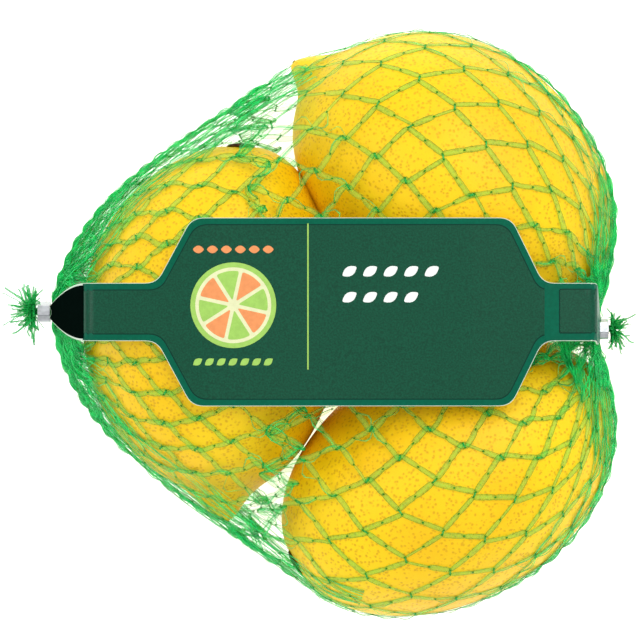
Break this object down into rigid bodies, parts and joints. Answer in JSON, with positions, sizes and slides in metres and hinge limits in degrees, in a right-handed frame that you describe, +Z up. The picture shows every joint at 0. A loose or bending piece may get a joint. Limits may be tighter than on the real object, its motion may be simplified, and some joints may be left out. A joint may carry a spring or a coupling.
{
  "type": "net of lemons",
  "caption": "Whole lemons in a knitted green net tube, clipped at both ends, with a plain printed band across the top.",
  "frame": {"origin": "middle of the whole in plan, on the surface the net lies on", "axes": "+X from the left clip to the right clip along the band, +Z up through the band"},
  "size_m": [0.1384, 0.1364, 0.0625],
  "materials": {
    "net": "thin knitted green plastic thread, translucent and slightly glossy",
    "peel": "waxy yellow lemon peel with fine pores",
    "stem": "dry brown stem scar",
    "band": "stiff satin film band printed dark green with a teal rim",
    "clip": "small bent clip of bare aluminium wire"
  },
  "bodies": {
    "root": {"net_bag": "net", "label_band": "band", "clip_left": "clip", "clip_right": "clip"}
  },
  "joints": []
}
